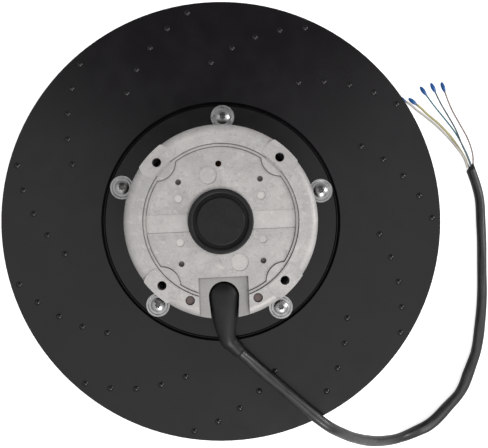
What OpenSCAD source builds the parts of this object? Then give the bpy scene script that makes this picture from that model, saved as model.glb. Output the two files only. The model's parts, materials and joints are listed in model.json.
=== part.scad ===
// Plug fan: a backward-curved centrifugal impeller on an external-rotor motor.
// It stands on its inlet, with the axis of rotation along Z and the cable outlet towards -Y.
// Sizes are in millimetres and angles in degrees.

/* [Impeller] */
// Outer diameter of the back plate and the shroud
impeller_d = 400; // [360:5:480]
// Height from the inlet lip to the motor side of the back plate
impeller_h = 138; // [130:1:170]
// Sheet thickness of the back plate
plate_t = 2; // [1.5:0.5:3]
// Distance from the rotor's flange to the middle of the pressed bead
bead_gap = 5; // [4.5:0.5:12]
// Width of the bead at the face of the plate
bead_w = 4; // [3:0.5:5]
// Depth of the bead
bead_depth = 4.5; // [1:0.5:5]
// Inner diameter of the inlet collar
inlet_d = 256; // [230:2:264]
// Height of the straight inlet collar
collar_h = 8; // [5:1:14]
// Sheet thickness of the shroud
shroud_t = 1.5; // [1:0.5:2.5]
// Radius of the shroud's bend on the air side
shroud_bend_r = 34; // [26:1:38]
// Slope of the shroud's cone
shroud_slope = 12; // [11:1:18]

/* [Blades] */
// Number of blades
blade_count = 11; // [7:1:12]
// Sheet thickness of a blade
blade_t = 1.5; // [1:0.5:2.5]
// Radius of the blade's curve, along its clinch points
blade_arc_r = 137; // [125:1:150]
// Angle between blade and rim at the outermost clinch point
blade_angle = 24.3; // [20:0.1:30]
// Width of the flanges that join a blade to plate and shroud
blade_flange_w = 14; // [12:1:18]
// Distance from the rim to the blade tips
blade_tip_inset = 2; // [1:0.5:6]
// Distance from the inlet collar to the leading edges
blade_lead_gap = 4; // [2:1:12]
// Clinch points on the plate for each blade
clinch_count = 5; // [3:1:5]
// Distance from the rim to the outermost clinch points
clinch_inset = 7.5; // [6:0.5:12]
// Distance from the leading edges to the innermost clinch points, along the radius
clinch_lead = 13; // [9:0.5:20]
// Diameter of a clinch point
clinch_d = 5.6; // [4:0.2:8]
// Height of a clinch point above the plate
clinch_h = 1.4; // [0.5:0.05:1.8]
// Place of the first blade in the rest position
blade_start = -1.5; // [-30:0.5:30]

/* [Rotor] */
// Outer diameter of the rotor can
rotor_d = 168; // [164:1:172]
// Wall thickness of the rotor can
rotor_wall = 5; // [4:0.5:7]
// Height of the can's closed end above the inlet lip
rotor_end_z = 30; // [20:1:32]
// Radial thickness of the rotor core
rotor_core_t = 9.5; // [8:0.5:12]
// Thickness of the flange that carries the back plate
rotor_flange_t = 8; // [6:1:12]
// Metal between the screw holes and the rim of that flange
rotor_flange_edge = 4; // [3:0.5:8]
// Rise of the can's open rim above the back plate
rotor_rim_h = 4; // [3:0.5:6]
// Number of impeller screws
screw_count = 5; // [4:1:6]
// Thread diameter of the impeller screws
screw_d = 6; // [5:1:6]
// Outer diameter of the washers
washer_d = 21.4; // [16:0.2:24]
// Thickness of the washers at their raised rim
washer_t = 1.6; // [1:0.2:2.4]
// Radial gap between the rotor can and the washers
washer_gap = 0.3; // [0.3:0.1:2]
// Place of the first impeller screw in the rest position
screw_start = 14.6; // [-36:0.2:36]
// Diameter of the shaft
shaft_d = 17; // [15:1:17]
// Number of bars in the rotor cage
cage_bars = 30; // [20:1:34]

/* [Stator] */
// Height of the stator core
core_h = 50; // [40:1:54]
// Number of stator slots
slot_count = 24; // [12:1:24]
// Radial air gap between stator and rotor core
air_gap = 0.5; // [0.4:0.1:1]
// Outer diameter of both bearings
bearing_d = 40; // [38:1:42]
// Width of both bearings
bearing_w = 12; // [12:1:14]
// Number of balls in a bearing
ball_count = 8; // [6:1:8]
// Ball diameter
ball_d = 6.75; // [6:0.05:6.75]

/* [Mounting flange] */
// Outer diameter of the die-cast flange
flange_d = 172; // [170:1:180]
// Thickness of the flange from its open side to the mounting face
flange_h = 22; // [20:1:30]
// Axial gap between the rotor rim and the flange
flange_gap = 4; // [3:0.5:8]
// Thickness of the flange's deck
deck_t = 5; // [4:0.5:6]
// Wall thickness of the flange's skirt
skirt_t = 5; // [4:0.5:7]
// Width of the raised ring
ring_w = 17; // [15:0.5:19]
// Height of the raised ring above the deck
ring_h = 3; // [2:0.5:4]
// Radius of the ring's outer edge
edge_r = 7; // [3:0.5:8]
// Distance from the flange's rim to the mounting holes
mount_inset = 9.5; // [8:0.5:12]
// Nominal thread of the mounting holes
mount_thread_d = 8; // [6:1:8]
// Diameter of the flat pad round a mounting hole
mount_pad_d = 32; // [28:1:34]
// Rise of the machined mounting pads above the ring
mount_pad_h = 0.3; // [0.2:0.1:2]
// Outer diameter of the rubber centre cap
cap_d = 58; // [56:1:62]

/* [Cable] */
// Width of the recess round the cable outlet
recess_w = 44; // [36:1:46]
// Distance from the centre cap to the start of the recess
recess_gap = 20; // [16:1:24]
// Depth of the recess below the deck
recess_depth = 3; // [0.5:0.5:3]
// Width of the cable slot in the flange
slot_w = 27; // [24:1:30]
// Diameter of the cable's sleeve
cable_d = 10; // [8:0.5:11]
// Diameter of a single lead
lead_d = 1.7; // [1.4:0.1:2.4]
// Diameter of an insulated lead end
lead_end_d = 4.4; // [4:0.2:5.6]
// Length of an insulated lead end
lead_end_l = 11.2; // [8:0.2:14]

/* [Hidden] */
$fn = 96;
seat = 0.05;
hole_play = 0.3;

z_plate = impeller_h - plate_t;
z_rim = impeller_h + rotor_rim_h;
z_flange = z_rim + flange_gap;
z_mount = z_flange + flange_h;
z_ring = z_mount - mount_pad_h;
z_deck = z_ring - ring_h;

rim_r = impeller_d / 2;
inlet_r = inlet_d / 2;
tip_r = rim_r - blade_tip_inset;
lead_r = inlet_r + blade_lead_gap;
bend_end = 100;
bend_centre = [inlet_r + shroud_bend_r, collar_h];

bead_floor_share = 0.1;
clinch_r = rim_r - clinch_inset;
clinch_root = 0.5;
clinch_dome_r = (clinch_d * clinch_d / 4 + clinch_h * clinch_h) / (2 * clinch_h);
punch_d = 0.78 * clinch_d;
punch_depth = 0.7 * blade_t;
blade_centre = [clinch_r - blade_arc_r * cos(blade_angle), -blade_arc_r * sin(blade_angle)];
blade_offset = norm(blade_centre);
clinch_step = (arc_angle(lead_r + clinch_lead) - blade_angle) / (clinch_count - 1);
blade_spare = 8;
blade_from = arc_angle(tip_r) - blade_spare;
blade_to = arc_angle(lead_r) + blade_spare;
blade_bend_r = 2 * blade_t;
blade_lift = 0.5;
bend_steps = 3;
wall_r = blade_arc_r - blade_flange_w / 2;

rotor_r = rotor_d / 2;
screw_r = rotor_r + washer_gap + washer_d / 2;
rotor_flange_r = screw_r + screw_d / 2 + rotor_flange_edge;
bead_r = rotor_flange_r + bead_gap;
can_r = rotor_r - rotor_wall;
can_end_t = 7;
can_edge_r = 14;
z_can = rotor_end_z + can_end_t;
hub_r = 20;
shaft_recess = 2;

rotor_core_r = can_r - rotor_core_t;
core_r = rotor_core_r - air_gap;
cage_ring_h = 6;
cage_bar_r = 2.2;
cage_gap = 0.5;
cage_seat = 0.3;
cage_pitch_r = (rotor_core_r + can_r) / 2;
insulator_t = 1.5;
winding_h = 18;
winding_gap = 3.5;
core_z = z_can + winding_gap + winding_h + insulator_t;
core_top = core_z + core_h;

hub_h = 13;
bearing_rise = 8;
lower_bearing_z = z_can + hub_h;
upper_bearing_z = core_top + bearing_rise;
bearing_r = bearing_d / 2;
shaft_r = shaft_d / 2;
tube_r = bearing_r + 7;
pitch_r = (bearing_r + shaft_r) / 2;
land_gap = 2.2;
groove_r = ball_d / 2 + 0.06;
shield_t = 0.8;
shield_seat = 0.6;
spring_h = 2;
spring_t = 0.6;
circlip_t = 1.4;
circlip_deep = 1.2;
shaft_end = 6;
shaft_top = upper_bearing_z + bearing_w + shaft_end;
shoulder = 2;

flange_r = flange_d / 2;
mount_r = flange_r - mount_inset;
thread_play = 0.1;
mount_hole_r = mount_thread_d / 2 + thread_play;
pad_r = mount_pad_d / 2;
boss_r = 9;
ring_r = flange_r - ring_w;
ledge_w = 2.6;
ledge_h = 1.5;
ledge_r = ring_r - ledge_w;
relief_w = 0.8;
relief_depth = 0.7;
relief_cut = 0.05;
bridge_r = 12;
bridge_turns = [45, 135];
bridge_h = (ledge_h + ring_h) / 2;
cap_r = cap_d / 2;
cap_stem_r = cap_r - 3;
cap_lip_w = 4.5;
cap_lip_r = 1.5;
cap_channel_w = 3.2;
cap_channel_depth = 2;
cap_disc_h = 2.2;
cap_disc_edge = 1;
cap_gap = 8;

neck_wall = 6;
tube_neck_r = cap_stem_r + neck_wall;
yoke_t = 17;
tooth_tip = 6;
slot_floor_r = tube_r + yoke_t;
slot_top_r = core_r - tooth_tip;
slot_inner_w = 6;
slot_outer_w = 10;
slot_mouth_w = 3;
slot_liner = 0.4;
winding_r = [slot_floor_r - 6, slot_top_r + 2];
winding_chamfer = 4;

mark_depth = 0.6;
bar_w = 16.6;
stud_r = 3.85;
stud_x = cap_r + 7.5;
stud_y = [21.5, -17];
dot_r = 2.5;
dot_circle_r = cap_r + 22;
dot_depth = 3;
stamp_r = 8;
stamp_turns = [103.3, 292.4];
stamp_circle_r = [cap_r + 13.2, cap_r + 10.6];
plug_r = 4.2;
plug_angle = 23.6;
plug_circle_r = flange_r - 11.5;
plug_t = 3;
plug_depth = 1.4;

recess_from = cap_r + recess_gap;
slot_end_w = 23;
slot_from = recess_from + 4;
outlet_y = -flange_r - 6;
boot_drop = 13;
boot_z = z_mount - boot_drop;
boot_wall = 2.4;
boot_lip = 2;

washer_rim_w = 1.5;
washer_floor = 1.1;
head_r = 1.08 * screw_d;
head_h = 0.7 * screw_d;
head_dome_r = 1.6 * screw_d;
socket_r = 0.32 * screw_d;
lobe_r = 0.12 * screw_d;
socket_depth = 2.4;
screw_l = 11;

plate_colour = [0.16, 0.16, 0.17];
cast_colour = [0.72, 0.72, 0.7];
steel_colour = [0.6, 0.61, 0.63];
core_colour = [0.35, 0.36, 0.38];
copper_colour = [0.72, 0.42, 0.22];
rubber_colour = [0.1, 0.1, 0.1];
insulator_colour = [0.85, 0.82, 0.72];
brown_colour = [0.4, 0.26, 0.22];
end_colour = [0.1, 0.3, 0.65];

// Cable route from the boot over the plate and rim down to the floor
cable_path = [
    [2, -106, 153], [9, -115, 150], [16, -122, 147.5], [29, -135, 145.5], [43, -148, 145],
    [57, -161, 145], [70, -173, 145], [81, -183, 144.5], [92, -192, 140], [104, -201, 125],
    [117, -211, 103], [132, -221, 76], [147, -229, 50], [163, -234, 28], [179, -236, 13],
    [196, -231, 6], [214, -222, 5], [230, -208, 5], [245, -194, 5], [254, -179, 5],
    [261, -160, 5], [266, -143, 5], [270, -122, 5], [273, -98, 5], [275, -64, 5],
    [276, -39, 5], [276, -15, 5], [276, 9, 5], [273, 26, 5], [267, 46, 5]];

// Lead routes on the floor from the end of the sleeve to the insulated ends
brown_path = [[269.8, 47.1, 6.5], [270.5, 57, 5.5], [269.5, 67, 3], [266, 79, 1.2], [259, 93, 1.2],
    [252, 107, 1.2], [247.6, 117.5, 2.3], [244.4, 127.5, 2.3]];
black_path = [[267.2, 46.4, 7.9], [263.6, 58, 7.6], [259, 70, 6.6], [254.5, 85, 4.2],
    [248, 100, 1.4], [239.7, 115, 2.3], [234.2, 127.5, 2.3]];
blue_path = [[269, 46.9, 3.2], [265.6, 58, 3.2], [260, 71, 3], [253, 85, 1.4], [244, 98, 1.2],
    [232.4, 113, 2.3], [224.4, 125, 2.3]];
earth_path = [[265.8, 45.9, 2.8], [262.2, 57, 2.6], [255.5, 69, 2.2], [247.4, 81.5, 1.6], [236.4, 94, 1.6],
    [225.4, 104, 2], [219, 110.6, 2.3], [213.8, 115.2, 2.3]];
white_path = [[264.1, 45.5, 6.2], [260.3, 57, 5.8], [253.2, 68.2, 4.9], [245.2, 79.2, 2.8],
    [234.3, 91.5, 1.6], [223.3, 101.5, 1.6], [213.6, 109.6, 1.7], [206.2, 116.2, 2.2],
    [202.2, 119, 2.3]];

// Angle about a blade's centre of curvature at which its clinch line has radius r
function arc_angle(r) =
    atan2(blade_centre[1], blade_centre[0])
    + acos((r * r - blade_offset * blade_offset - blade_arc_r * blade_arc_r)
        / (2 * blade_offset * blade_arc_r));

function clinch_at(i) =
    let (a = blade_angle + i * clinch_step)
    blade_centre + blade_arc_r * [cos(a), sin(a)];

function bend_point(r) = bend_centre + r * [cos(bend_end), sin(bend_end)];

// Height of the shroud's floor side at radius r on the cone
function cone_z(r) =
    bend_point(shroud_bend_r)[1]
    + (r - bend_point(shroud_bend_r)[0]) * tan(shroud_slope) - shroud_t / cos(shroud_slope);

function unit(v) = v / norm(v);

function path_tangent(p, i) = unit(p[min(i + 1, len(p) - 1)] - p[max(i - 1, 0)]);

function tube_ring(centre, along, r, sides) =
    let (across = unit(cross(along, [0, 0, 1])), up = cross(across, along))
    [for (k = [0 : sides - 1])
        centre + r * (cos(360 * k / sides) * across + sin(360 * k / sides) * up)];

module tube(path, d, sides) {
    rings = len(path);
    points = [for (i = [0 : rings - 1])
        each tube_ring(path[i], path_tangent(path, i), d / 2, sides)];
    walls = [for (i = [0 : rings - 2], k = [0 : sides - 1])
        [i * sides + k, i * sides + (k + 1) % sides,
            (i + 1) * sides + (k + 1) % sides, (i + 1) * sides + k]];
    first_end = [for (k = [sides - 1 : -1 : 0]) k];
    last_end = [for (k = [0 : sides - 1]) (rings - 1) * sides + k];
    polyhedron(points, concat([first_end], walls, [last_end]));
}

module ring_solid(r_in, r_out, z, h) {
    translate([0, 0, z]) difference() {
        cylinder(r = r_out, h = h);
        translate([0, 0, -1]) cylinder(r = r_in, h = h + 2);
    }
}

module around(count, start = 0) {
    for (i = [0 : count - 1]) rotate(start + 360 * i / count) children();
}

// Back plate with its bead and the clinch points of all blades
module impeller_back_plate() {
    half = bead_w / 2;
    floor_half = bead_floor_share * half;
    low = impeller_h - bead_depth;
    color(plate_colour) difference() {
        union() {
            rotate_extrude() polygon([
                [rotor_r + seat, impeller_h], [bead_r - half, impeller_h],
                [bead_r - floor_half, low], [bead_r + floor_half, low],
                [bead_r + half, impeller_h], [rim_r, impeller_h], [rim_r, z_plate],
                [bead_r + half + plate_t, z_plate], [bead_r + half, low - plate_t],
                [bead_r - half, low - plate_t], [bead_r - half - plate_t, z_plate],
                [rotor_r + seat, z_plate]]);
            around(blade_count, blade_start) for (i = [0 : clinch_count - 1])
                translate(concat(clinch_at(i), [impeller_h])) clinch_dome();
        }
        around(screw_count, screw_start) translate([screw_r, 0, z_plate - 1])
            cylinder(d = screw_d + 2 * hole_play, h = plate_t + 2);
    }
}

// Round button that a punch raises from the blade side
module clinch_dome() {
    rotate_extrude() intersection() {
        translate([0, clinch_h - clinch_dome_r]) circle(r = clinch_dome_r);
        translate([0, -clinch_root]) square([clinch_d, clinch_root + clinch_h]);
    }
}

// All that lies on the floor side of a sheet bent with radius r, down to a level and out to a radius
module under_sheet(r, low, end_r) {
    edge = bend_centre[0] - r;
    start = bend_point(r);
    rise = tan(shroud_slope);
    reach = 2 * r;
    difference() {
        polygon([
            [edge, low], [edge, start[1] - (start[0] - edge) * rise],
            [end_r, start[1] + (end_r - start[0]) * rise], [end_r, low]]);
        translate(bend_centre) difference() {
            polygon([[0, 0], [-reach, 0], [-reach, reach], reach * [cos(bend_end), sin(bend_end)]]);
            circle(r = r);
        }
    }
}

module cone_section(r_in, r_out, r_end) {
    a = bend_point(r_out);
    b = bend_point(r_in);
    rise = tan(shroud_slope);
    polygon([a, [r_end, a[1] + (r_end - a[0]) * rise], [r_end, b[1] + (r_end - b[0]) * rise], b]);
}

// Inlet shroud: collar, bend and cone from one sheet
module inlet_shroud() {
    shallow = 0.6 * shroud_t;
    ball_r = (clinch_d * clinch_d / 4 + shallow * shallow) / (2 * shallow);
    color(plate_colour) difference() {
        rotate_extrude() difference() {
            under_sheet(shroud_bend_r, 0, rim_r);
            under_sheet(shroud_bend_r - shroud_t, -1, rim_r + 1);
        }
        around(blade_count, blade_start) for (i = [0 : clinch_count - 3]) {
            place = clinch_at(i);
            translate([place[0], place[1], cone_z(norm(place)) + shallow - ball_r])
                sphere(r = ball_r);
        }
    }
}

module blade_sweep() {
    translate(blade_centre) rotate(blade_from)
        rotate_extrude(angle = blade_to - blade_from) children();
}

// Wall and upper flange of a blade in section, bent from one strip
module blade_section() {
    translate([wall_r, 0]) square([blade_t, z_plate - blade_bend_r]);
    translate([wall_r + blade_bend_r, z_plate - blade_t])
        square([blade_flange_w - blade_bend_r, blade_t]);
    translate([wall_r + blade_bend_r, z_plate - blade_bend_r]) intersection() {
        difference() {
            circle(r = blade_bend_r);
            circle(r = blade_bend_r - blade_t);
        }
        translate([-2 * blade_bend_r, 0]) square(2 * blade_bend_r);
    }
}

// Space for the blade walls: it follows the bend in straight steps just above the shroud
module air_section() {
    r = shroud_bend_r + blade_lift;
    start = acos((lead_r - bend_centre[0]) / r);
    cone = bend_point(r);
    polygon(concat(
        [[lead_r, z_plate]],
        [for (k = [0 : bend_steps]) let (a = start + (bend_end - start) * k / bend_steps)
            bend_centre + r * [cos(a), sin(a)]],
        [[tip_r, cone[1] + (tip_r - cone[0]) * tan(shroud_slope)], [tip_r, z_plate]]));
}

module foot_section() {
    intersection() {
        cone_section(shroud_bend_r, shroud_bend_r + blade_t, rim_r);
        translate([lead_r, 0]) square([tip_r - lead_r, z_plate]);
    }
}

// One backward-curved blade with a flange against the plate and a foot on the shroud
module blade(i) {
    color(plate_colour) rotate(blade_start + 360 * i / blade_count) difference() {
        union() {
            intersection() {
                blade_sweep() blade_section();
                rotate_extrude() air_section();
            }
            intersection() {
                blade_sweep() translate([wall_r, 0]) square([blade_flange_w, z_plate / 2]);
                rotate_extrude() foot_section();
            }
        }
        for (k = [0 : clinch_count - 1]) translate(concat(clinch_at(k), [z_plate - blade_t - 1]))
            cylinder(d = punch_d, h = 1 + punch_depth);
    }
}

module blade_01() { blade(0); }
module blade_02() { blade(1); }
module blade_03() { blade(2); }
module blade_04() { blade(3); }
module blade_05() { blade(4); }
module blade_06() { blade(5); }
module blade_07() { blade(6); }
module blade_08() { blade(7); }
module blade_09() { blade(8); }
module blade_10() { blade(9); }
module blade_11() { blade(10); }

// Rotor can: a cup that opens towards the flange, with the hub inside its closed end
module rotor_can() {
    color(plate_colour) difference() {
        rotate_extrude() difference() {
            polygon([
                [0, rotor_end_z], [rotor_r, rotor_end_z], [rotor_r, z_rim], [can_r, z_rim],
                [can_r, z_can], [hub_r, z_can], [hub_r, lower_bearing_z - shoulder],
                [shaft_r + shoulder, lower_bearing_z - shoulder],
                [shaft_r + shoulder, lower_bearing_z], [0, lower_bearing_z]]);
            translate([rotor_r - can_edge_r, rotor_end_z + can_edge_r]) difference() {
                translate([0, -can_edge_r - 1]) square(can_edge_r + 1);
                circle(r = can_edge_r);
            }
        }
        translate([0, 0, rotor_end_z - 1]) cylinder(r = shaft_r + seat, h = impeller_h);
        translate([0, 0, rotor_end_z - 1]) cylinder(r = hub_r - shoulder, h = 1 + shaft_recess);
    }
}

// Ring pressed onto the can, which carries the back plate and takes the impeller screws
module rotor_flange() {
    low = z_plate - rotor_flange_t;
    color(plate_colour) difference() {
        ring_solid(rotor_r + seat, rotor_flange_r, low, rotor_flange_t);
        around(screw_count, screw_start) translate([screw_r, 0, low - 1])
            cylinder(d = screw_d + 2 * seat, h = rotor_flange_t + 2);
    }
}

module rotor_core() {
    color(core_colour) translate([0, 0, core_z]) linear_extrude(core_h) difference() {
        circle(r = can_r - seat);
        circle(r = rotor_core_r);
        around(cage_bars) translate([cage_pitch_r, 0]) circle(r = cage_bar_r + seat);
    }
}

// Die-cast cage: two end rings joined by bars through the rotor core
module rotor_cage() {
    color(cast_colour) {
        ring_solid(rotor_core_r + cage_gap, can_r - cage_seat, core_z - cage_ring_h, cage_ring_h);
        ring_solid(rotor_core_r + cage_gap, can_r - cage_seat, core_top, cage_ring_h);
        around(cage_bars) translate([cage_pitch_r, 0, core_z - 1])
            cylinder(r = cage_bar_r, h = core_h + 2);
    }
}

module shaft() {
    groove_z = upper_bearing_z + bearing_w;
    color(steel_colour) difference() {
        union() {
            translate([0, 0, rotor_end_z + 1]) cylinder(r = shaft_r, h = shaft_top - rotor_end_z - 2);
            translate([0, 0, shaft_top - 1]) cylinder(r1 = shaft_r, r2 = shaft_r - 1, h = 1);
        }
        ring_solid(shaft_r - circlip_deep, shaft_r + 1, groove_z + seat, circlip_t + seat);
    }
}

module shaft_circlip() {
    z = upper_bearing_z + bearing_w + seat;
    color(steel_colour) difference() {
        ring_solid(shaft_r - circlip_deep + seat, shaft_r + shoulder, z, circlip_t);
        translate([0, -shoulder / 2, z - 1]) cube([2 * shaft_r, shoulder, circlip_t + 2]);
    }
}

// Impeller screws with a domed head and a six-lobed socket
module impeller_screws() {
    color(steel_colour) around(screw_count, screw_start)
        translate([screw_r, 0, impeller_h + washer_floor]) difference() {
            union() {
                translate([0, 0, -screw_l]) cylinder(d = screw_d, h = screw_l + 1);
                rotate_extrude() intersection() {
                    translate([0, head_h - head_dome_r]) circle(r = head_dome_r);
                    square([head_r, head_h]);
                }
            }
            translate([0, 0, head_h - socket_depth]) linear_extrude(socket_depth + 1) {
                circle(r = socket_r);
                around(6) translate([socket_r, 0]) circle(r = lobe_r);
            }
        }
}

// Washers with a raised rim round the screw head
module screw_washers() {
    outer = washer_d / 2;
    inner = screw_d / 2 + hole_play;
    color(steel_colour) around(screw_count, screw_start) translate([screw_r, 0, impeller_h])
        rotate_extrude() polygon([
            [inner, 0], [outer, 0], [outer, washer_t], [outer - washer_rim_w, washer_t],
            [outer - 1.5 * washer_rim_w, washer_floor], [inner, washer_floor]]);
}

module inner_race(z) {
    color(steel_colour) difference() {
        ring_solid(shaft_r + seat, pitch_r - land_gap, z, bearing_w);
        ball_track(z);
    }
}

module outer_race(z) {
    color(steel_colour) difference() {
        ring_solid(pitch_r + land_gap, bearing_r - seat, z, bearing_w);
        ball_track(z);
        ring_solid(pitch_r, pitch_r + land_gap + shield_seat, z - 1, 1 + shield_t);
        ring_solid(pitch_r, pitch_r + land_gap + shield_seat, z + bearing_w - shield_t, 1 + shield_t);
    }
}

module ball_track(z) {
    translate([0, 0, z + bearing_w / 2]) rotate_extrude() translate([pitch_r, 0]) circle(r = groove_r);
}

module shields(z) {
    inner = pitch_r - land_gap + 0.4;
    outer = pitch_r + land_gap + shield_seat - seat;
    color(steel_colour) {
        ring_solid(inner, outer, z, shield_t);
        ring_solid(inner, outer, z + bearing_w - shield_t, shield_t);
    }
}

module balls(z) {
    color(steel_colour) around(ball_count) translate([pitch_r, 0, z + bearing_w / 2])
        sphere(d = ball_d);
}

module ball_cage(z) {
    h = bearing_w - 2 * shield_t - 1;
    color(copper_colour) difference() {
        ring_solid(pitch_r - 1, pitch_r + 1, z + (bearing_w - h) / 2, h);
        around(ball_count) translate([pitch_r, 0, z + bearing_w / 2]) sphere(d = ball_d + 0.4);
    }
}

module upper_inner_race() { inner_race(upper_bearing_z); }
module lower_inner_race() { inner_race(lower_bearing_z); }
module upper_outer_race() { outer_race(upper_bearing_z); }
module lower_outer_race() { outer_race(lower_bearing_z); }
module upper_shields() { shields(upper_bearing_z); }
module lower_shields() { shields(lower_bearing_z); }
module upper_balls() { balls(upper_bearing_z); }
module lower_balls() { balls(lower_bearing_z); }
module upper_ball_cage() { ball_cage(upper_bearing_z); }
module lower_ball_cage() { ball_cage(lower_bearing_z); }

module bore_circlip() {
    z = upper_bearing_z + bearing_w + seat;
    color(steel_colour) difference() {
        ring_solid(bearing_r - shoulder, bearing_r + circlip_deep - seat, z, circlip_t);
        translate([0, -shoulder, z - 1]) cube([2 * bearing_r, 2 * shoulder, circlip_t + 2]);
    }
}

// Disc spring that loads the lower bearing against the shoulder in the tube
module preload_spring() {
    low = lower_bearing_z + bearing_w;
    outer = bearing_r - 0.3;
    inner = bearing_r - 3.5;
    color(steel_colour) rotate_extrude() polygon([
        [outer, low], [outer, low + spring_t],
        [inner, low + spring_h], [inner, low + spring_h - spring_t]]);
}

module flange_body() {
    ledge_z = z_deck + ledge_h;
    rotate_extrude() difference() {
        polygon([
            [bearing_r, lower_bearing_z - 1], [tube_r, lower_bearing_z - 1], [tube_r, core_top],
            [tube_neck_r, core_top], [tube_neck_r, z_deck - deck_t],
            [flange_r - skirt_t, z_deck - deck_t], [flange_r - skirt_t, z_flange],
            [flange_r, z_flange], [flange_r, z_ring], [ring_r, z_ring],
            [ring_r, ledge_z - relief_depth], [ring_r - relief_w, ledge_z - relief_depth],
            [ring_r - relief_w, ledge_z], [ledge_r, ledge_z], [ledge_r, z_deck - relief_depth],
            [ledge_r - relief_w, z_deck - relief_depth], [ledge_r - relief_w, z_deck],
            [cap_stem_r, z_deck],
            [cap_stem_r, shaft_top], [bearing_r, shaft_top],
            [bearing_r, upper_bearing_z], [bearing_r - shoulder, upper_bearing_z],
            [bearing_r - shoulder, lower_bearing_z + bearing_w + spring_h],
            [bearing_r, lower_bearing_z + bearing_w + spring_h]]);
        translate([flange_r - edge_r, z_ring - edge_r]) difference() {
            square(edge_r + 1);
            circle(r = edge_r);
        }
    }
    around(4, 45) intersection() {
        translate([mount_r, 0, z_deck - 1]) cylinder(r = pad_r, h = 1 + ledge_h);
        cylinder(r = ledge_r + (ledge_w - relief_w) / 2, h = z_mount);
    }
    around(4, 45) intersection() {
        translate([mount_r, 0, z_ring - edge_r - 1]) cylinder(r = pad_r, h = flange_h);
        ring_solid(ring_r + relief_w, flange_r, z_flange, flange_h);
    }
    for (turn = bridge_turns) rotate(turn) intersection() {
        translate([mount_r, 0, z_deck - 1]) cylinder(r = bridge_r, h = 1 + bridge_h);
        ring_solid(ring_r - 1.5 * relief_w, ring_r + 0.5 * relief_w, z_flange, flange_h);
    }
    around(4, 45) intersection() {
        translate([mount_r, 0, z_flange]) cylinder(r = boss_r, h = flange_h - ring_h - mount_pad_h);
        cylinder(r = flange_r, h = z_mount);
    }
}

// Shallow marks in the deck: bands beside the cap, round pin marks and two blank round stamps
module deck_marks() {
    low = z_deck - mark_depth;
    band_from = cap_r - 1;
    intersection() {
        for (side = [0, 180]) rotate(side) translate([band_from, -bar_w / 2, low])
            cube([flange_r, bar_w, ring_h]);
        cylinder(r = ledge_r - relief_w / 2, h = z_mount);
    }
    for (x = [-stud_x, stud_x], y = stud_y) translate([x, y, low]) cylinder(r = stud_r, h = ring_h);
    for (i = [0, 1]) rotate(stamp_turns[i]) translate([stamp_circle_r[i], 0, low])
        cylinder(r = stamp_r, h = ring_h);
}

// Relief cut round the inner side of the mounting pads
module pad_reliefs() {
    around(4, 45) intersection() {
        translate([mount_r, 0, 0])
            ring_solid(pad_r - relief_cut, pad_r + relief_w, z_deck - relief_depth, ring_h);
        cylinder(r = ledge_r - relief_w / 2, h = z_mount + 1);
    }
}

// Slot with a round inner end that narrows towards the rim
module cable_slot() {
    corner = slot_w / 2;
    translate([0, 0, z_flange - 1]) linear_extrude(flange_h + 2) {
        translate([0, -slot_from - corner]) circle(r = corner);
        polygon([[-corner, -slot_from - corner], [corner, -slot_from - corner],
            [slot_end_w / 2, outlet_y], [-slot_end_w / 2, outlet_y]]);
    }
}

module flange_holes() {
    around(4, 45) translate([mount_r, 0, z_flange - 1]) cylinder(r = mount_hole_r, h = flange_h + 2);
    around(4, 45) translate([dot_circle_r, 0, z_deck - dot_depth]) cylinder(r = dot_r, h = dot_depth + 1);
    rotate(90) translate([dot_circle_r, 0, z_deck - deck_t - 1]) cylinder(r = dot_r + 0.3, h = deck_t + 2);
    for (side = [-1, 1]) rotate(270 + side * plug_angle)
        translate([plug_circle_r, 0, z_ring - plug_depth - plug_t])
            cylinder(r = plug_r, h = plug_depth + plug_t + 1);
    translate([0, 0, upper_bearing_z + bearing_w + seat])
        ring_solid(bearing_r - 1, bearing_r + circlip_deep, 0, circlip_t + seat);
}

// Die-cast mounting flange with the bearing tube that carries the stator
module stator_flange() {
    color(cast_colour) difference() {
        flange_body();
        deck_marks();
        pad_reliefs();
        flange_holes();
        translate([-recess_w / 2, outlet_y, z_deck - recess_depth])
            cube([recess_w, -recess_from - outlet_y, flange_h]);
        cable_slot();
    }
}

module slot_shape(inset) {
    polygon([
        [slot_floor_r + inset, -slot_inner_w / 2 + inset],
        [slot_top_r - inset, -slot_outer_w / 2 + inset],
        [slot_top_r - inset, slot_outer_w / 2 - inset],
        [slot_floor_r + inset, slot_inner_w / 2 - inset]]);
}

module lamination() {
    difference() {
        circle(r = core_r);
        circle(r = tube_r + seat);
        around(slot_count) {
            slot_shape(0);
            translate([slot_top_r - 1, -slot_mouth_w / 2]) square([core_r, slot_mouth_w]);
        }
    }
}

module stator_core() {
    color(core_colour) translate([0, 0, core_z]) linear_extrude(core_h) lamination();
}

module upper_insulator() {
    color(insulator_colour) translate([0, 0, core_top]) insulator_plate();
}

module lower_insulator() {
    color(insulator_colour) translate([0, 0, core_z - insulator_t]) insulator_plate();
}

module insulator_plate() {
    linear_extrude(insulator_t) difference() {
        lamination();
        circle(r = tube_neck_r + seat);
    }
}

module winding_head(z) {
    r1 = winding_r[0];
    r2 = winding_r[1];
    c = winding_chamfer;
    translate([0, 0, z]) rotate_extrude() polygon([
        [r1 + c, 0], [r2 - c, 0], [r2, c], [r2, winding_h - c], [r2 - c, winding_h],
        [r1 + c, winding_h], [r1, winding_h - c], [r1, c]]);
}

// Copper windings: bars in the slots and a round head at each end
module stator_windings() {
    low = core_z - insulator_t;
    high = core_top + insulator_t;
    color(copper_colour) {
        winding_head(low - winding_h);
        winding_head(high);
        around(slot_count) translate([0, 0, low - 1]) linear_extrude(high - low + 2) slot_shape(slot_liner);
    }
}

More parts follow.
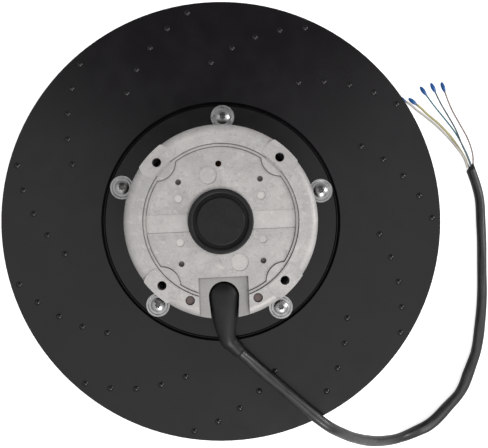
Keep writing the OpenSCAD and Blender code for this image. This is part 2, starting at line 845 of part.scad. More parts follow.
// Rubber cap over the bearing: a stem in the bore, a rounded lip, a deep channel and a flat disc
module centre_cap() {
    bottom = shaft_top + cap_gap;
    channel = z_deck - cap_channel_depth;
    lip_r = cap_r - cap_lip_w;
    disc_r = lip_r - cap_channel_w;
    disc_top = z_deck + cap_disc_h;
    color(rubber_colour) rotate_extrude() {
        translate([0, bottom]) square([cap_stem_r - seat, channel - bottom]);
        translate([0, bottom]) square([disc_r, disc_top - cap_disc_edge - bottom]);
        translate([0, bottom]) square([disc_r - cap_disc_edge, disc_top - bottom]);
        translate([disc_r - cap_disc_edge, disc_top - cap_disc_edge]) circle(r = cap_disc_edge);
        translate([lip_r, bottom]) square([cap_stem_r - seat - lip_r, z_deck + cap_lip_r - bottom]);
        translate([lip_r + cap_lip_r, z_deck]) square([cap_lip_w - 2 * cap_lip_r, 2 * cap_lip_r]);
        for (r = [lip_r + cap_lip_r, cap_r - cap_lip_r]) translate([r, z_deck + cap_lip_r])
            circle(r = cap_lip_r);
    }
}

// Two plugs set below the ring beside the cable outlet
module hole_plugs() {
    color(brown_colour) for (side = [-1, 1]) rotate(270 + side * plug_angle)
        translate([plug_circle_r, 0, z_ring - plug_depth - plug_t])
            cylinder(r = plug_r - seat, h = plug_t);
}

// Rubber boot: fills the slot, leaves the flange and narrows to the cable
module cable_boot() {
    root_r = slot_w / 2 - 1.5;
    root = [0, -slot_from - slot_w / 2, boot_z];
    mouth = [0, -flange_r, boot_z];
    along = path_tangent(cable_path, 0);
    color(rubber_colour) hull() {
        translate(root) scale([1, 1, 0.5]) sphere(r = root_r, $fn = 32);
        translate(mouth) scale([0.9, 1, 0.6]) sphere(r = slot_end_w / 2 - 1, $fn = 32);
        translate(cable_path[0]) rotate([0, acos(along[2]), atan2(along[1], along[0])])
            translate([0, 0, -boot_lip]) cylinder(d = cable_d + 2 * boot_wall, h = boot_lip, $fn = 32);
    }
}

module power_cable() { color(rubber_colour) tube(cable_path, cable_d, 10); }

module lead_brown() { color([0.36, 0.22, 0.16]) tube(brown_path, lead_d, 8); }
module lead_black() { color([0.2, 0.2, 0.22]) tube(black_path, lead_d, 8); }
module lead_blue() { color([0.15, 0.3, 0.4]) tube(blue_path, lead_d, 8); }
module lead_earth() { color([0.75, 0.7, 0.3]) tube(earth_path, 1.5 * lead_d, 8); }
module lead_white() { color([0.85, 0.83, 0.78]) tube(white_path, 1.4 * lead_d, 8); }

// Insulated end: a spindle that is widest in the middle, with a rounded tip
module lead_end(path) {
    last = len(path) - 1;
    along = path_tangent(path, last);
    turn = atan2(along[1], along[0]);
    wide = lead_end_d / 2;
    neck = 0.68 * wide;
    tip = 0.6 * wide;
    half_l = lead_end_l / 2;
    tip_l = half_l - tip;
    color(end_colour) translate(path[last]) rotate([0, 0, turn]) rotate([0, 90, 0]) {
        cylinder(r1 = neck, r2 = wide, h = half_l);
        translate([0, 0, half_l]) cylinder(r1 = wide, r2 = tip, h = tip_l);
        translate([0, 0, lead_end_l - tip]) sphere(r = tip);
    }
}

module lead_end_brown() { lead_end(brown_path); }
module lead_end_black() { lead_end(black_path); }
module lead_end_blue() { lead_end(blue_path); }
module lead_end_earth() { lead_end(earth_path); }
module lead_end_white() { lead_end(white_path); }

impeller_back_plate();
inlet_shroud();
blade_01();
blade_02();
blade_03();
blade_04();
blade_05();
blade_06();
blade_07();
blade_08();
blade_09();
blade_10();
blade_11();
rotor_can();
rotor_flange();
rotor_core();
rotor_cage();
shaft();
shaft_circlip();
impeller_screws();
screw_washers();
upper_inner_race();
lower_inner_race();
stator_flange();
stator_core();
stator_windings();
upper_insulator();
lower_insulator();
upper_outer_race();
lower_outer_race();
upper_shields();
lower_shields();
bore_circlip();
preload_spring();
centre_cap();
hole_plugs();
cable_boot();
power_cable();
lead_brown();
lead_black();
lead_blue();
lead_earth();
lead_white();
lead_end_brown();
lead_end_black();
lead_end_blue();
lead_end_earth();
lead_end_white();
upper_balls();
upper_ball_cage();
lower_balls();
lower_ball_cage();
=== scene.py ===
import json
import math

import bmesh
import bpy
from bpy.props import FloatProperty, FloatVectorProperty, IntProperty, PointerProperty
from mathutils import Matrix, Vector


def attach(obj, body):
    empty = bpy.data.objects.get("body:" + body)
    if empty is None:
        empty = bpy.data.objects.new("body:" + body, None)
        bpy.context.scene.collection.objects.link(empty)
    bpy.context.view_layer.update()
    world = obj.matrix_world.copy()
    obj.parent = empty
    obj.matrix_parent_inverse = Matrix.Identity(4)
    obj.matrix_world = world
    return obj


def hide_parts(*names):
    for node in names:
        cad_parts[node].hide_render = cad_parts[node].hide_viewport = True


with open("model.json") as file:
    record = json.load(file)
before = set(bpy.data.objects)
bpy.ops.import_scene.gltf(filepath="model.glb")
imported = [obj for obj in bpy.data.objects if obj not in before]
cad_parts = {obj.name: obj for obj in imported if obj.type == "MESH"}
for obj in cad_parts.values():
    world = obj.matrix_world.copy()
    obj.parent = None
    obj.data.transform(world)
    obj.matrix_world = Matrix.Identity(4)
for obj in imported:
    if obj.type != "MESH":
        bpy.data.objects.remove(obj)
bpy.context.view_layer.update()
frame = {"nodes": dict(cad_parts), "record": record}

bl_info = {
    "name": "Plug fan",
    "version": (1, 0, 0),
    "blender": (4, 5, 0),
    "location": "3D View > Sidebar > Plug fan",
    "description": "Finishes, cable, leads and studio for a plug fan with an external-rotor motor",
    "category": "Object",
}

# Routes of the cable and its leads in metres, the same points as in the solid model
CABLE_ROUTE = [
    (0.002, -0.106, 0.153), (0.009, -0.115, 0.150), (0.016, -0.122, 0.1475), (0.029, -0.135, 0.1455),
    (0.043, -0.148, 0.145), (0.057, -0.161, 0.145), (0.070, -0.173, 0.145), (0.081, -0.183, 0.1445),
    (0.092, -0.192, 0.140), (0.104, -0.201, 0.125), (0.117, -0.211, 0.103), (0.132, -0.221, 0.076),
    (0.147, -0.229, 0.050), (0.163, -0.234, 0.028), (0.179, -0.236, 0.013), (0.196, -0.231, 0.006),
    (0.214, -0.222, 0.005), (0.230, -0.208, 0.005), (0.245, -0.194, 0.005), (0.254, -0.179, 0.005),
    (0.261, -0.160, 0.005), (0.266, -0.143, 0.005), (0.270, -0.122, 0.005), (0.273, -0.098, 0.005),
    (0.275, -0.064, 0.005), (0.276, -0.039, 0.005), (0.276, -0.015, 0.005), (0.276, 0.009, 0.005),
    (0.273, 0.026, 0.005), (0.267, 0.046, 0.005),
]
# Ridges of the leads under the sleeve: number round it, depth against its radius, turns for each twist
SLEEVE_RIDGES = [(3, 0.022, -3.0), (5, 0.013, 2.2)]
# How far the sleeve's end is cut aslant
SLEEVE_SLANT = 0.0032
# Where the leads push the sleeve out: distance along the cable, bulge on its right and on its left
SLEEVE_BULGES = [
    (0.0, 0.0, 0.0002), (0.17, 0.0, 0.0004), (0.21, 0.0, 0.0011), (0.25, 0.0004, 0.0007),
    (0.272, 0.0004, 0.0005), (0.288, 0.0, 0.0005), (0.304, 0.0017, 0.0002), (0.32, 0.0029, 0.0),
    (0.344, 0.0024, 0.0002), (0.368, 0.0004, 0.0008), (0.392, 0.0, 0.0023), (0.416, 0.0009, 0.0002),
    (0.44, 0.0010, 0.0008), (0.464, 0.0008, 0.0004), (0.50, 0.0, 0.0004), (0.62, 0.0, 0.0003),
]
LEAD_ROUTES = {
    "brown": [
        (0.2698, 0.0471, 0.0065), (0.2705, 0.057, 0.0055), (0.2695, 0.067, 0.003),
        (0.266, 0.079, 0.0012), (0.259, 0.093, 0.0012), (0.252, 0.107, 0.0012),
        (0.2476, 0.1175, 0.0023), (0.2444, 0.1275, 0.0023),
    ],
    "black": [
        (0.2672, 0.0464, 0.0079), (0.2636, 0.058, 0.0076), (0.259, 0.070, 0.0066),
        (0.2545, 0.085, 0.0042), (0.248, 0.100, 0.0014), (0.2397, 0.115, 0.0023),
        (0.2342, 0.1275, 0.0023),
    ],
    "blue": [
        (0.269, 0.0469, 0.0032), (0.2656, 0.058, 0.0032), (0.260, 0.071, 0.003),
        (0.253, 0.085, 0.0014), (0.244, 0.098, 0.0012), (0.2324, 0.113, 0.0023),
        (0.2244, 0.125, 0.0023),
    ],
    "earth": [
        (0.2658, 0.0459, 0.0028), (0.2622, 0.057, 0.0026), (0.2555, 0.069, 0.0022),
        (0.2474, 0.0815, 0.0016), (0.2364, 0.094, 0.0016), (0.2254, 0.104, 0.002),
        (0.219, 0.1106, 0.0023), (0.2138, 0.1152, 0.0023),
    ],
    "white": [
        (0.2641, 0.0455, 0.0062), (0.2603, 0.057, 0.0058), (0.2532, 0.0682, 0.0049),
        (0.2452, 0.0792, 0.0028), (0.2343, 0.0915, 0.0016), (0.2233, 0.1015, 0.0016),
        (0.2136, 0.1096, 0.0017), (0.2062, 0.1162, 0.0022), (0.2022, 0.119, 0.0023),
    ],
}
# Each lead's diameter against a thin lead's
LEAD_WIDTHS = {"brown": 1.0, "black": 1.0, "blue": 1.0, "earth": 1.5, "white": 1.4}
# Outline of a lead's insulated end: place along it and radius, as shares of its length and half width
LEAD_END_SHAPE = [
    (-0.02, 0.0), (-0.02, 0.42), (0.04, 0.52), (0.12, 0.66), (0.25, 0.84), (0.38, 0.96), (0.5, 1.0),
    (0.62, 0.97), (0.75, 0.86), (0.86, 0.68), (0.94, 0.47), (0.985, 0.24), (1.0, 0.0),
]

# Middle line of the boot, from inside the flange to the cable
BOOT_ROUTE = [
    (0.0, -0.0541, 0.1560), (0.0, -0.0640, 0.1562), (0.0, -0.0720, 0.1560), (0.0, -0.0800, 0.1556),
    (0.0, -0.0880, 0.1550), (0.0003, -0.0960, 0.1542), (0.0020, -0.1060, 0.1530),
    (0.0055, -0.1105, 0.1515), (0.0090, -0.1150, 0.1500), (0.0125, -0.1185, 0.1488),
]
# Place along the boot, and its widths at the top and foot and its height as shares of the root's
BOOT_SHAPE = [
    (0.0, 0.24, 0.24, 0.35), (0.016, 0.47, 0.47, 0.6), (0.047, 0.71, 0.72, 0.8),
    (0.093, 0.91, 0.94, 0.94), (0.15, 1.0, 1.04, 1.0), (0.25, 0.95, 1.03, 1.01),
    (0.33, 0.895, 0.99, 1.02), (0.43, 0.81, 0.97, 1.03), (0.53, 0.735, 0.88, 1.05),
    (0.68, 0.635, 0.65, 1.08), (0.76, 0.60, 0.60, 1.08), (0.83, 0.54, 0.54, 1.02),
    (0.91, 0.475, 0.475, 0.92), (0.985, 0.455, 0.455, 0.86), (1.0, 0.42, 0.42, 0.8),
]
# Section at the boot's root: 1 is an oval, less is squarer
BOOT_ROOT_POWER = 0.72

# Round marks on the flange's deck: place, radius, strength and tone against the casting. The darker
# tone in the four small blind holes is painted shade, and the lighter tone of the four pin marks is
# painted sheen of their smooth faces.
DECK_MARKS = [
    ((0.0365, 0.0215), 0.0037, 0.55, 1.4), ((-0.0365, 0.0215), 0.0037, 0.6, 1.4),
    ((0.0365, -0.017), 0.0037, 0.3, 1.4), ((-0.0365, -0.017), 0.0037, 0.6, 1.4),
    ((-0.0097, 0.0411), 0.0078, 0.22, 1.4), ((0.0151, -0.0366), 0.0078, 0.22, 1.4),
    ((0.0361, 0.0361), 0.0026, 0.75, 0.28), ((-0.0361, 0.0361), 0.0026, 0.75, 0.28),
    ((0.0361, -0.0361), 0.0026, 0.75, 0.28), ((-0.0361, -0.0361), 0.0026, 0.75, 0.28),
]
# Bands beside the cap and the floor of the cable recess: middle, half size, strength and tone. The
# recess floor's darker tone is painted shade.
DECK_PATCHES = [
    ((0.047, 0.0, 0.1641), (0.019, 0.0082, 0.003), 0.36, 1.3),
    ((-0.047, 0.0, 0.1641), (0.019, 0.0082, 0.003), 0.36, 1.25),
    ((0.0, -0.072, 0.1617), (0.0222, 0.0232, 0.0012), 0.5, 0.5),
]
# Half of the width over which the edge of a mark or patch fades
MARK_FADE = 0.0005

# Width of the picture in pixels, and the camera's shift to the right and up in its pixels
PICTURE_WIDTH = 488
PICTURE_SHIFT = (23.2, -2.6)
# Each lamp's place, aim and width
LAMPS = {
    "key": ((0.29, -0.80, 0.95), (0.0, 0.02, 0.12), 0.55),
    "side": ((0.98, 0.12, 0.60), (0.0, 0.0, 0.15), 0.4),
    "fill": ((-0.60, 0.90, 0.40), (0.0, 0.0, 0.15), 0.5),
}
# How much the dark wedge of ceiling draws in towards its tip
WEDGE_SLOPE = 0.7


def colour_prop(name, text, value):
    return FloatVectorProperty(
        name=name, description=text, default=value, size=3, min=0.0, max=1.0, subtype="COLOR")


def length_prop(name, text, value):
    return FloatProperty(
        name=name, description=text, default=value, min=0.0, subtype="DISTANCE", unit="LENGTH")


def power_prop(name, text, value):
    return FloatProperty(name=name, description=text, default=value, min=0.0, unit="POWER")


def level_prop(name, text, value):
    return FloatProperty(name=name, description=text, default=value, min=0.0)


class PlugFanColours(bpy.types.PropertyGroup):
    coat: colour_prop("Powder coat", "Sheet metal of the impeller", (0.0094, 0.0083, 0.0095))
    rotor: colour_prop("Rotor paint", "Rotor can and its flange", (0.013, 0.013, 0.0135))
    casting: colour_prop("Casting", "Die-cast mounting flange", (0.502, 0.485, 0.474))
    # Painted shade: the dark colour mixed in where ambient occlusion finds corners and grooves
    corner_shade: colour_prop("Corner shade", "Painted shade in corners and grooves", (0.060, 0.056, 0.050))
    cage: colour_prop("Rotor cage", "Cast cage of the rotor", (0.55, 0.55, 0.55))
    laminations: colour_prop("Laminations", "Sheet stacks of stator and rotor", (0.30, 0.31, 0.33))
    copper: colour_prop("Copper", "Windings of the stator", (0.60, 0.30, 0.15))
    brass: colour_prop("Brass", "Ball cages of the bearings", (0.70, 0.55, 0.25))
    insulation: colour_prop("Insulation", "End insulators of the stator", (0.62, 0.57, 0.43))
    zinc: colour_prop("Zinc", "Screws and washers", (0.41, 0.411, 0.409))
    steel: colour_prop("Steel", "Shaft, bearings and clips", (0.50, 0.51, 0.53))
    rubber: colour_prop("Rubber", "Centre cap and cable boot", (0.0105, 0.0105, 0.011))
    sleeve: colour_prop("Sleeve", "Sleeve over the cable", (0.0175, 0.0175, 0.0185))
    plug: colour_prop("Hole plugs", "Plugs beside the cable outlet", (0.145, 0.105, 0.100))
    lead_end: colour_prop("Lead ends", "Insulated ends of the leads", (0.011, 0.095, 0.32))
    lead_brown: colour_prop("Brown lead", "Brown lead's insulation", (0.30, 0.235, 0.215))
    lead_black: colour_prop("Dark lead", "Dark lead's insulation", (0.10, 0.13, 0.15))
    lead_blue: colour_prop("Blue lead", "Blue lead's insulation", (0.07, 0.20, 0.25))
    lead_earth: colour_prop("Earth lead", "Earth lead's insulation", (0.48, 0.44, 0.23))
    lead_white: colour_prop("White lead", "White lead's insulation", (0.56, 0.53, 0.50))


class PlugFanSizes(bpy.types.PropertyGroup):
    sleeve_width: length_prop("Sleeve diameter", "Diameter of the cable's sleeve", 0.0098)
    sleeve_length: length_prop("Cable length", "Length from the boot to the end of the sleeve", 0.616)
    sleeve_twist: length_prop("Twist", "Length in which the leads in the sleeve turn once", 0.17)
    lead_width: length_prop("Lead diameter", "Diameter of a thin lead", 0.0017)
    end_width: length_prop("Lead end diameter", "Widest part of an insulated lead end", 0.0043)
    end_length: length_prop("Lead end length", "Length of an insulated lead end", 0.011)
    boot_width: length_prop("Boot width", "Width of the boot at its root", 0.0252)
    boot_height: length_prop("Boot height", "Height of the boot at its root", 0.0125)
    round_steps: IntProperty(
        name="Steps round", description="Faces round a turned piece", default=32, min=8)


class PlugFanStage(bpy.types.PropertyGroup):
    camera_height: length_prop("Camera height", "Height of the camera above the floor", 0.938)
    camera_turn: FloatProperty(
        name="Camera turn", description="Turn of the camera about the fan's axis",
        default=math.radians(-2.5), subtype="ANGLE")
    lens: FloatProperty(name="Lens", description="Focal length", default=64.8, unit="CAMERA")
    key_power: power_prop("Key light", "Power of the main light", 7.0)
    side_power: power_prop("Side light", "Power of the light from the right", 4.4)
    fill_power: power_prop("Fill light", "Power of the low light from behind", 2.8)
    ambient: level_prop("Ambient", "Strength of the light from all round", 0.47)
    ceiling: level_prop("Ceiling", "Brightness of the dark part of the ceiling", 0.02)
    floor_glow: level_prop("Floor glow", "Floor brightness kept in shadow", 0.74)


def colours():
    return bpy.context.scene.plug_fan_colours


def sizes():
    return bpy.context.scene.plug_fan_sizes


class Nodes:
    """A node tree under construction, with short ways to add and join its nodes."""

    def __init__(self, tree):
        self.tree = tree

    def node(self, kind, **settings):
        made = self.tree.nodes.new(kind)
        for key, value in settings.items():
            setattr(made, key, value)
        return made

    def join(self, source, target):
        self.tree.links.new(source, target)

    def math(self, operation, *values):
        made = self.node("ShaderNodeMath", operation=operation)
        for socket, value in zip(made.inputs, values):
            if isinstance(value, bpy.types.NodeSocket):
                self.join(value, socket)
            else:
                socket.default_value = value
        return made.outputs["Value"]

    def span(self, source, low, high, start=0.3, end=0.7):
        made = self.node("ShaderNodeMapRange", interpolation_type="SMOOTHSTEP")
        made.inputs["From Min"].default_value = start
        made.inputs["From Max"].default_value = end
        made.inputs["To Min"].default_value = low
        made.inputs["To Max"].default_value = high
        self.join(source, made.inputs["Value"])
        return made.outputs["Result"]

    def seen_ray(self):
        """1 for rays from the camera, straight or through glass, and the sorts of ray to choose from"""
        rays = self.node("ShaderNodeLightPath").outputs
        return self.math("MAXIMUM", rays["Is Camera Ray"], rays["Is Transmission Ray"]), rays


class Finish(Nodes):
    """A material: a Principled shader with clouds, grain, dents and painted corner shade led into it.
    """

    def __init__(self, name, colour, roughness, metallic=0.0, specular=0.5):
        self.material = bpy.data.materials.new(name)
        self.material.use_nodes = True
        super().__init__(self.material.node_tree)
        self.shader = self.tree.nodes["Principled BSDF"]
        self.colour = tuple(colour)
        self.set("Base Color", (*self.colour, 1.0))
        self.set("Roughness", roughness)
        self.set("Metallic", metallic)
        self.set("Specular IOR Level", specular)
        self.place = self.node("ShaderNodeTexCoord").outputs["Object"]
        self.paint = None
        self.relief = None

    def set(self, socket, value):
        self.shader.inputs[socket].default_value = value

    def along(self):
        self.place = self.node("ShaderNodeUVMap", uv_map="along").outputs["UV"]

    def stretched(self, scale, turn=0.0):
        mapping = self.node("ShaderNodeMapping")
        mapping.inputs["Scale"].default_value = scale
        mapping.inputs["Rotation"].default_value = (0.0, 0.0, turn)
        self.join(self.place, mapping.inputs["Vector"])
        return mapping.outputs["Vector"]

    def noise(self, scale, detail=2.0, roughness=0.5, at=None):
        made = self.node("ShaderNodeTexNoise")
        made.inputs["Scale"].default_value = scale
        made.inputs["Detail"].default_value = detail
        made.inputs["Roughness"].default_value = roughness
        self.join(at or self.place, made.inputs["Vector"])
        return made.outputs["Fac"]

    def cells(self, scale):
        made = self.node("ShaderNodeTexVoronoi", feature="F1")
        made.inputs["Scale"].default_value = scale
        self.join(self.place, made.inputs["Vector"])
        return made.outputs["Distance"]

    def bands(self, scale, direction, distortion=0.0):
        made = self.node("ShaderNodeTexWave", wave_type="BANDS", bands_direction=direction)
        made.inputs["Scale"].default_value = scale
        made.inputs["Distortion"].default_value = distortion
        self.join(self.place, made.inputs["Vector"])
        return made.outputs["Fac"]

    def flat_place(self):
        made = self.node("ShaderNodeVectorMath", operation="MULTIPLY")
        made.inputs[1].default_value = (1.0, 1.0, 0.0)
        self.join(self.place, made.inputs[0])
        return made.outputs["Vector"]

    def distance(self, centre):
        """Distance from a line parallel to Z through a point"""
        made = self.node("ShaderNodeVectorMath", operation="DISTANCE")
        made.inputs[1].default_value = (*centre, 0.0)
        self.join(self.flat_place(), made.inputs[0])
        return made.outputs["Value"]

    def patch(self, middle, half):
        """1 inside an upright box, 0 outside it"""
        axes = self.node("ShaderNodeSeparateXYZ")
        self.join(self.place, axes.inputs["Vector"])
        inside = 1.0
        for value, centre, reach in zip(axes.outputs, middle, half):
            off = self.math("ABSOLUTE", self.math("SUBTRACT", value, centre))
            near = self.span(off, 1.0, 0.0, reach - MARK_FADE, reach + MARK_FADE)
            inside = self.math("MULTIPLY", near, inside)
        return inside

    def rings(self, scale):
        made = self.node("ShaderNodeTexNoise", noise_dimensions="1D")
        made.inputs["Scale"].default_value = scale
        made.inputs["Detail"].default_value = 2.0
        self.join(self.distance((0.0, 0.0)), made.inputs["W"])
        return made.outputs["Fac"]

    def mixed(self, factor, first, second):
        made = self.node("ShaderNodeMix", data_type="RGBA")
        self.join(factor, made.inputs["Factor"])
        sockets = [socket for socket in made.inputs if socket.type == "RGBA"]
        for socket, value in zip(sockets, (first, second)):
            if isinstance(value, bpy.types.NodeSocket):
                self.join(value, socket)
            else:
                socket.default_value = (*value, 1.0)
        self.paint = [socket for socket in made.outputs if socket.type == "RGBA"][0]
        self.join(self.paint, self.shader.inputs["Base Color"])

    def tint(self, source, dark, light):
        shades = [[min(1.0, c * share) for c in self.colour] for share in (dark, light)]
        self.mixed(source, *shades)

    def toned(self, tone):
        return [tone * c for c in self.colour]

    def flecks(self, source, colour):
        self.mixed(source, self.paint, colour)

    def specks(self, scale, detail, most, start, end, tone):
        """Fine spots in a lighter or darker tone of the finish's own colour"""
        spots = self.noise(scale, detail, 0.7)
        self.flecks(self.span(spots, 0.0, most, start, end), self.toned(tone))

    # Painted shade: mixes a colour in where ambient occlusion finds nearby surfaces, darkening corners,
    # grooves and hollows
    def corners(self, reach, start, end, colour, most=1.0, own=True):
        made = self.node("ShaderNodeAmbientOcclusion", samples=8, only_local=own)
        made.inputs["Distance"].default_value = reach
        self.mixed(self.span(made.outputs["AO"], most, 0.0, start, end), self.paint, colour)

    def gloss(self, source, low, high):
        self.join(self.span(source, low, high), self.shader.inputs["Roughness"])

    def dents(self, source, depth, strength=1.0):
        made = self.node("ShaderNodeBump")
        made.inputs["Strength"].default_value = strength
        made.inputs["Distance"].default_value = depth
        self.join(source, made.inputs["Height"])
        if self.relief:
            self.join(self.relief, made.inputs["Normal"])
        self.relief = made.outputs["Normal"]
        self.join(self.relief, self.shader.inputs["Normal"])


def powder_coat(name, colour, gloss):
    finish = Finish(name, colour, gloss, specular=0.34)
    finish.tint(finish.span(finish.noise(22.0, 3.0, 0.55), 0.0, 1.0), 0.91, 1.10)
    finish.gloss(finish.noise(60.0, 2.0), gloss - 0.015, gloss + 0.03)
    finish.dents(finish.noise(420.0, 2.0), 0.00010, 0.22)
    finish.dents(finish.noise(2200.0, 1.0), 0.00004, 0.25)
    return finish.material


def cast_metal(name, colour, gloss, metallic, marks=(), patches=()):
    finish = Finish(name, colour, gloss, metallic, 0.35)
    cloud = finish.noise(48.0, 4.0, 0.62)
    grain = finish.noise(700.0, 2.0, 0.6)
    streaks = finish.noise(60.0, 3.0, 0.6, finish.stretched((0.5, 9.0, 1.0), 0.35))
    worn = finish.math("MULTIPLY_ADD", grain, 0.30, cloud)
    finish.tint(finish.span(worn, 0.0, 1.0, 0.42, 0.92), 0.84, 1.10)
    finish.flecks(finish.span(streaks, 0.0, 0.16, 0.55, 0.75), finish.toned(1.2))
    finish.flecks(finish.span(finish.rings(700.0), 0.0, 0.2, 0.5, 0.75), finish.toned(0.75))
    finish.specks(330.0, 4.0, 0.75, 0.52, 0.75, 0.68)
    finish.specks(210.0, 4.0, 0.65, 0.54, 0.76, 1.3)
    finish.specks(150.0, 3.0, 0.60, 0.58, 0.76, 0.60)
    # Discs in a lighter or darker tone; the pin marks' lighter tone is painted sheen and the blind
    # holes' darker tone is painted shade
    for centre, radius, share, tone in marks:
        off = finish.distance(centre)
        mark = finish.span(off, share, 0.0, radius - MARK_FADE, radius + MARK_FADE)
        finish.flecks(mark, finish.toned(tone))
    # Boxes in a lighter or darker tone; the darker floor of the cable recess is painted shade
    for middle, half, share, tone in patches:
        mark = finish.math("MULTIPLY", finish.patch(middle, half), share)
        finish.flecks(mark, finish.toned(tone))
    # Painted shade: darkens the casting in its corners, grooves and recesses
    finish.corners(0.0032, 0.4, 0.95, colours().corner_shade, 0.42)
    finish.gloss(cloud, gloss - 0.06, gloss + 0.08)
    finish.dents(grain, 0.00022, 0.5)
    finish.dents(finish.cells(380.0), 0.00015, 0.25)
    return finish.material


def bright_metal(name, colour, gloss):
    finish = Finish(name, colour, gloss, 1.0)
    haze = finish.noise(160.0, 3.0, 0.6)
    finish.tint(finish.span(haze, 0.0, 1.0), 0.82, 1.10)
    # Painted shade: darkens the metal in its corners and grooves
    finish.corners(0.0035, 0.42, 0.92, colours().corner_shade, 0.95)
    finish.gloss(haze, gloss - 0.05, gloss + 0.09)
    finish.dents(finish.noise(520.0, 2.0), 0.00005, 0.25)
    return finish.material


def sheet_stack(name, colour):
    finish = Finish(name, colour, 0.5, 0.8)
    lines = finish.bands(320.0, "Z")
    finish.tint(finish.span(lines, 0.0, 1.0, 0.1, 0.5), 0.55, 1.1)
    finish.dents(lines, 0.00015, 0.6)
    return finish.material


def wound_wire(name, colour):
    finish = Finish(name, colour, 0.32, 0.9)
    turns = finish.bands(260.0, "DIAGONAL", 1.5)
    finish.tint(finish.span(turns, 0.0, 1.0, 0.15, 0.7), 0.55, 1.15)
    finish.dents(turns, 0.0004, 0.7)
    return finish.material


def moulded(name, colour, gloss, grain=900.0, specular=0.4, rim=0.0, dust=0.0):
    finish = Finish(name, colour, gloss, specular=specular)
    cloud = finish.noise(90.0, 3.0)
    finish.tint(finish.span(cloud, 0.0, 1.0), 0.86, 1.14)
    if dust:
        finish.specks(420.0, 4.0, dust, 0.5, 0.72, 2.2)
    # Painted shade: a darker rim where the walls of the plug's hole stand close to it
    if rim:
        finish.corners(rim, 0.55, 0.98, finish.toned(0.2), 0.95, own=False)
    finish.gloss(cloud, gloss - 0.04, gloss + 0.07)
    finish.dents(finish.noise(grain, 2.0), 0.0001, 0.3)
    return finish.material


def sleeve_skin(name, colour):
    finish = Finish(name, colour, 0.36, specular=0.5)
    finish.along()
    scuff = finish.noise(9.0, 3.0, 0.6, finish.stretched((12.0, 1.0, 1.0)))
    finish.tint(finish.span(scuff, 0.0, 1.0), 0.80, 1.35)
    finish.gloss(scuff, 0.30, 0.46)
    finish.dents(finish.noise(60.0, 2.0, 0.5, finish.stretched((20.0, 1.0, 1.0))), 0.0002, 0.25)
    return finish.material


def lead_skin(name, colour):
    finish = Finish(name, colour, 0.38)
    finish.along()
    smears = finish.noise(10.0, 2.0, 0.5, finish.stretched((8.0, 1.0, 1.0)))
    finish.tint(finish.span(smears, 0.0, 1.0), 0.82, 1.15)
    finish.gloss(smears, 0.33, 0.46)
    finish.dents(smears, 0.0001, 0.3)
    return finish.material


FINISHES = {
    "coated_sheet": lambda name: powder_coat(name, colours().coat, 0.20),
    "rotor_paint": lambda name: powder_coat(name, colours().rotor, 0.36),
    "lamination_steel": lambda name: sheet_stack(name, colours().laminations),
    "cast_aluminium": lambda name: cast_metal(
        name, colours().casting, 0.55, 0.25, DECK_MARKS, DECK_PATCHES),
    "cage_aluminium": lambda name: cast_metal(name, colours().cage, 0.5, 0.8),
    "zinc_steel": lambda name: bright_metal(name, colours().zinc, 0.30),
    "bright_steel": lambda name: bright_metal(name, colours().steel, 0.22),
    "copper_wire": lambda name: wound_wire(name, colours().copper),
    "cage_brass": lambda name: bright_metal(name, colours().brass, 0.3),
    "insulation": lambda name: moulded(name, colours().insulation, 0.45),
    "black_rubber": lambda name: moulded(name, colours().rubber, 0.42, 1400.0, 0.26, dust=0.6),
    "brown_plug": lambda name: moulded(name, colours().plug, 0.5, rim=0.003),
    "cable_sleeve": lambda name: sleeve_skin(name, colours().sleeve),
    "end_blue": lambda name: moulded(name, colours().lead_end, 0.28, 500.0, 0.5),
    "lead_brown": lambda name: lead_skin(name, colours().lead_brown),
    "lead_black": lambda name: lead_skin(name, colours().lead_black),
    "lead_blue": lambda name: lead_skin(name, colours().lead_blue),
    "lead_earth": lambda name: lead_skin(name, colours().lead_earth),
    "lead_white": lambda name: lead_skin(name, colours().lead_white),
}


def finish_of(slot):
    """The material of one of the record's slots, made when it is first asked for."""
    name = slot + "_finish"
    return bpy.data.materials.get(name) or FINISHES[slot](name)


def smooth_route(points, spacing):
    """Evenly spaced points on one smooth curve through the given points."""
    knots = [Vector(p) for p in points]
    ends = [2 * knots[0] - knots[1], *knots, 2 * knots[-1] - knots[-2]]
    fine = []
    steps = 24
    for a, b, c, d in zip(ends, ends[1:], ends[2:], ends[3:]):
        for step in range(steps):
            t = step / steps
            fine.append(0.5 * (
                2 * b + (c - a) * t + (2 * a - 5 * b + 4 * c - d) * t * t
                + (3 * b - a - 3 * c + d) * t * t * t))
    fine.append(knots[-1])
    total = sum((q - p).length for p, q in zip(fine, fine[1:]))
    count = max(2, round(total / spacing))
    even, walked, k = [fine[0]], 0.0, 1
    for p, q in zip(fine, fine[1:]):
        step = (q - p).length
        while k < count and walked + step >= total * k / count:
            even.append(p.lerp(q, (total * k / count - walked) / step))
            k += 1
        walked += step
    even.append(fine[-1])
    return even


def between(table, place):
    """A table's values at a place, its first column, on straight lines between its rows."""
    for low, high in zip(table, table[1:]):
        if place <= high[0]:
            break
    share = (place - low[0]) / (high[0] - low[0])
    return [a + share * (b - a) for a, b in zip(low[1:], high[1:])]


def directions(path):
    """The heading at each point of a path."""
    last = len(path) - 1
    return [(path[min(i + 1, last)] - path[max(i - 1, 0)]).normalized() for i in range(last + 1)]


def ring_edges(ring):
    """The edges of a ring of vertices, each once and in a fixed order."""
    return list(dict.fromkeys(e for v in ring for e in v.link_edges if e.other_vert(v) in ring))


